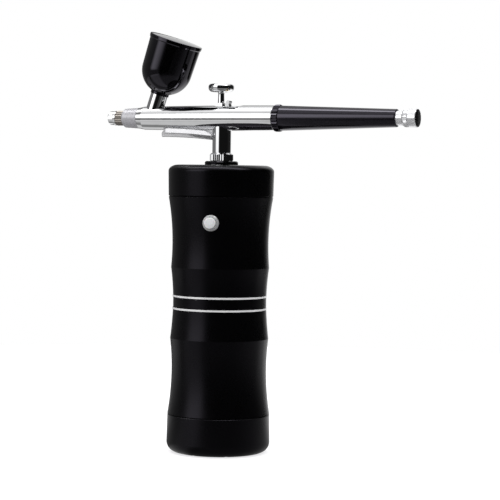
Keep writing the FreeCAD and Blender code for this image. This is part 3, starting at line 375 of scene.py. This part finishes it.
def ring_of(build, radius, along):
    """Points of one ring at a distance along the axis, or a single point on the axis."""
    if radius == 0:
        return [build.verts.new((0, 0, along))]
    ring = []
    for index in range(REVOLVED_SIDES):
        angle = 2 * math.pi * index / REVOLVED_SIDES
        ring.append(build.verts.new((radius * math.cos(angle), radius * math.sin(angle), along)))
    return ring


def join_rings(build, lower, upper):
    """Faces between two rings. Next to a single point they are triangles."""
    for index in range(REVOLVED_SIDES):
        after = (index + 1) % REVOLVED_SIDES
        corners = [lower[index % len(lower)], lower[after % len(lower)]]
        corners += [upper[after % len(upper)], upper[index % len(upper)]]
        unique = list(dict.fromkeys(corners))
        build.faces.new(unique)


def turned_about(name, axis_start, direction, profile):
    """A piece of revolution. Profile points are (radius, distance from axis_start)."""
    mesh = bpy.data.meshes.new(name)
    build = bmesh.new()
    rings = [ring_of(build, radius, along) for radius, along in profile]
    for lower, upper in zip(rings, rings[1:]):
        join_rings(build, lower, upper)
    bmesh.ops.recalc_face_normals(build, faces=build.faces)
    build.to_mesh(mesh)
    build.free()
    for polygon in mesh.polygons:
        polygon.use_smooth = True
    piece = bpy.data.objects.new(name, mesh)
    bpy.context.scene.collection.objects.link(piece)
    turn = direction.to_track_quat("Z", "Y").to_matrix().to_4x4()
    piece.matrix_world = Matrix.Translation(axis_start) @ turn
    return piece


def knob_insert(material):
    """Adds the black disc in the preset knob's end, on the body of the knob."""
    low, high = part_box("preset_knob")
    centre_y = (low.y + high.y) / 2
    centre_z = (low.z + high.z) / 2
    start = Vector((high.x - INSERT_PLUG_DEPTH, centre_y, centre_z))
    under_lip = INSERT_PLUG_DEPTH + INSERT_RIM_GAP
    front = under_lip + INSERT_LIP_THICK
    bevel_in, bevel_back = INSERT_BEVEL
    profile = [
        (0, 0),
        (INSERT_PLUG_R, 0),
        (INSERT_PLUG_R, under_lip),
        (INSERT_LIP_R, under_lip),
        (INSERT_LIP_R, front - bevel_back),
        (INSERT_LIP_R - bevel_in, front),
        (0, front),
    ]
    disc = turned_about("knob_insert", start, Vector((1, 0, 0)), profile)
    disc.data.materials.append(material)
    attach(disc, "preset_knob")


# ---------------------------------------------------------------- stage, light and camera


def towards_camera():
    """Horizontal unit vectors from the object: to the camera, and to the camera's left."""
    turn = math.radians(CAMERA_AZIMUTH)
    toward = Vector((math.sin(turn), -math.cos(turn), 0))
    left = Vector((-math.cos(turn), -math.sin(turn), 0))
    return toward, left


def camera_turn(toward, left):
    """The camera's axes as a matrix: level towards the object, then panned, pitched and rolled."""
    pan, pitch, roll = (math.radians(angle) for angle in (PAN_RIGHT, PITCH_DOWN, ROLL_LEFT))
    vertical = Vector((0, 0, 1))
    level = -toward * math.cos(pan) - left * math.sin(pan)
    ahead = level * math.cos(pitch) - vertical * math.sin(pitch)
    right = ahead.cross(vertical).normalized()
    up = right.cross(ahead)
    rolled_right = right * math.cos(roll) + up * math.sin(roll)
    rolled_up = up * math.cos(roll) - right * math.sin(roll)
    return Matrix((rolled_right, rolled_up, -ahead)).transposed().to_4x4()


def make_camera():
    """Places the camera at the photographer's viewing angle."""
    toward, left = towards_camera()
    data = bpy.data.cameras.new("camera")
    data.lens = LENS_MM
    data.sensor_width = SENSOR_MM
    data.clip_start = CLIP_NEAR
    data.clip_end = CLIP_FAR
    camera = bpy.data.objects.new("camera", data)
    bpy.context.scene.collection.objects.link(camera)
    place = toward * CAMERA_DISTANCE + Vector((0, 0, EYE_HEIGHT))
    camera.matrix_world = Matrix.Translation(place) @ camera_turn(toward, left)
    bpy.context.scene.camera = camera


def window(graph, value, rise, fall):
    """One between rise and fall, which are (start, end) pairs, and nought outside."""
    rising = graph.between(value, *rise)
    falling = graph.between(value, *fall, 1.0, 0.0)
    return graph.math("MULTIPLY", rising, falling)


def azimuth_of(graph, direction):
    """Degrees from the camera towards its left."""
    toward, left = towards_camera()
    front = graph.vector("DOT_PRODUCT", direction, tuple(toward))
    side = graph.vector("DOT_PRODUCT", direction, tuple(left))
    return graph.math("DEGREES", graph.math("ARCTAN2", side, front))


def studio_radiance(graph, direction):
    """Radiance by direction. The front is dark; a softbox, a strip light and glows surround it."""
    parts = graph.add("ShaderNodeSeparateXYZ", Vector=direction).outputs
    azimuth = azimuth_of(graph, direction)
    elevation = graph.math("DEGREES", graph.math("ARCSINE", parts["Z"]))
    frontward = graph.math("MULTIPLY", parts["Y"], -1.0)
    over = graph.math("DEGREES", graph.math("ARCTAN2", parts["Z"], frontward))

    across = window(graph, azimuth, *SOFTBOX_SIDES)
    upright = window(graph, elevation, *SOFTBOX_UPRIGHT)
    softbox = graph.math("MULTIPLY", across, upright)
    level = graph.between(elevation, *SOFTBOX_BRIGHTENS, SOFTBOX_LOW, SOFTBOX_MIDDLE)
    high_up = graph.between(elevation, *STRIP_ABOVE)
    strip = graph.math("MULTIPLY", window(graph, over, *STRIP_OVER), high_up)
    lights = (
        graph.math("MULTIPLY", softbox, level),
        graph.between(azimuth, *LEFT_GLOW_FROM, 0.0, LEFT_GLOW),
        graph.between(azimuth, *RIGHT_GLOW_FROM, 0.0, RIGHT_GLOW),
        graph.between(azimuth, *RIGHT_WALL_FROM, 0.0, RIGHT_WALL),
        graph.between(elevation, *CEILING_FROM, 0.0, CEILING),
        graph.math("MULTIPLY", strip, STRIP_LIGHT),
    )
    total = FRONT_DARK
    for light in lights:
        total = graph.math("MAXIMUM", total, light)
    return total


def table_radiance(graph, place):
    """Radiance of the table in reflections, by direction and distance from the object."""
    azimuth = azimuth_of(graph, place)
    distance = graph.vector("LENGTH", place)
    at_left = graph.between(distance, *TABLE_FAR_FROM, TABLE_LEFT, TABLE_LEFT + TABLE_LEFT_FAR)
    lights = (
        graph.math("MULTIPLY", window(graph, azimuth, *TABLE_LEFT_BETWEEN), at_left),
        graph.between(azimuth, *TABLE_RIGHT_FROM, 0.0, TABLE_RIGHT),
        graph.between(azimuth, *TABLE_BEHIND_FROM, 0.0, TABLE_BEHIND),
    )
    toward, _ = towards_camera()
    behind = graph.vector("DOT_PRODUCT", place, tuple(-toward))
    strip = graph.math("MULTIPLY", window(graph, behind, *TABLE_STRIP_BEHIND), TABLE_STRIP)
    faded = graph.between(distance, *TABLE_FADES, TABLE_NEAR, TABLE_FAR)
    total = graph.math("ADD", faded, strip)
    for light in lights:
        total = graph.math("ADD", total, light)
    return total


def make_world():
    """Studio light. The camera itself sees plain white, and matt surfaces also get even light."""
    world = bpy.data.worlds.new("studio")
    bpy.context.scene.world = world
    world.use_nodes = True
    graph = Graph(world.node_tree)
    direction = graph.add("ShaderNodeTexCoord").outputs["Generated"]
    radiance = studio_radiance(graph, direction)
    path = graph.add("ShaderNodeLightPath").outputs
    evened = graph.math("MAXIMUM", radiance, EVEN_LIGHT)
    lit = graph.blend(path["Is Diffuse Ray"], radiance, evened)
    strength = graph.blend(path["Is Camera Ray"], lit, BACKDROP_SEEN)
    background = graph.add("ShaderNodeBackground", Color=rgba(1.0), Strength=strength)
    output = graph.add("ShaderNodeOutputWorld")
    graph.tree.links.new(background.outputs[0], output.inputs["Surface"])


def table_paper():
    """Plain paper to the camera, and the table's own radiance to reflections."""
    material = bpy.data.materials.new("table_paper")
    material.use_nodes = True
    graph = Graph(material.node_tree)
    links = graph.tree.links
    radiance = table_radiance(graph, graph.place())
    glow = graph.add("ShaderNodeEmission", Color=rgba(1.0), Strength=radiance)
    matt = graph.add("ShaderNodeBsdfDiffuse", Color=rgba(TABLE_WHITE))
    base = graph.add("ShaderNodeEmission", Color=rgba(*TABLE_TINT), Strength=TABLE_SELF_LIT)
    paper = graph.add("ShaderNodeAddShader")
    links.new(matt.outputs[0], paper.inputs[0])
    links.new(base.outputs[0], paper.inputs[1])
    seen = graph.add("ShaderNodeLightPath").outputs["Is Camera Ray"]
    mix = graph.add("ShaderNodeMixShader", Fac=seen)
    links.new(glow.outputs[0], mix.inputs[1])
    links.new(paper.outputs[0], mix.inputs[2])
    output = graph.add("ShaderNodeOutputMaterial")
    links.new(mix.outputs[0], output.inputs["Surface"])
    return material


def make_table():
    """Round white table under the object."""
    mesh = bpy.data.meshes.new("table")
    build = bmesh.new()
    bmesh.ops.create_circle(build, cap_ends=True, segments=TABLE_SIDES, radius=TABLE_RADIUS)
    build.to_mesh(mesh)
    build.free()
    mesh.materials.append(table_paper())
    table = bpy.data.objects.new("table", mesh)
    bpy.context.scene.collection.objects.link(table)


def main():
    scene = bpy.context.scene
    scene.view_settings.view_transform = "Standard"
    materials = paint_nodes()
    knob_insert(materials["black_plastic"])
    make_world()
    make_table()
    make_camera()


main()
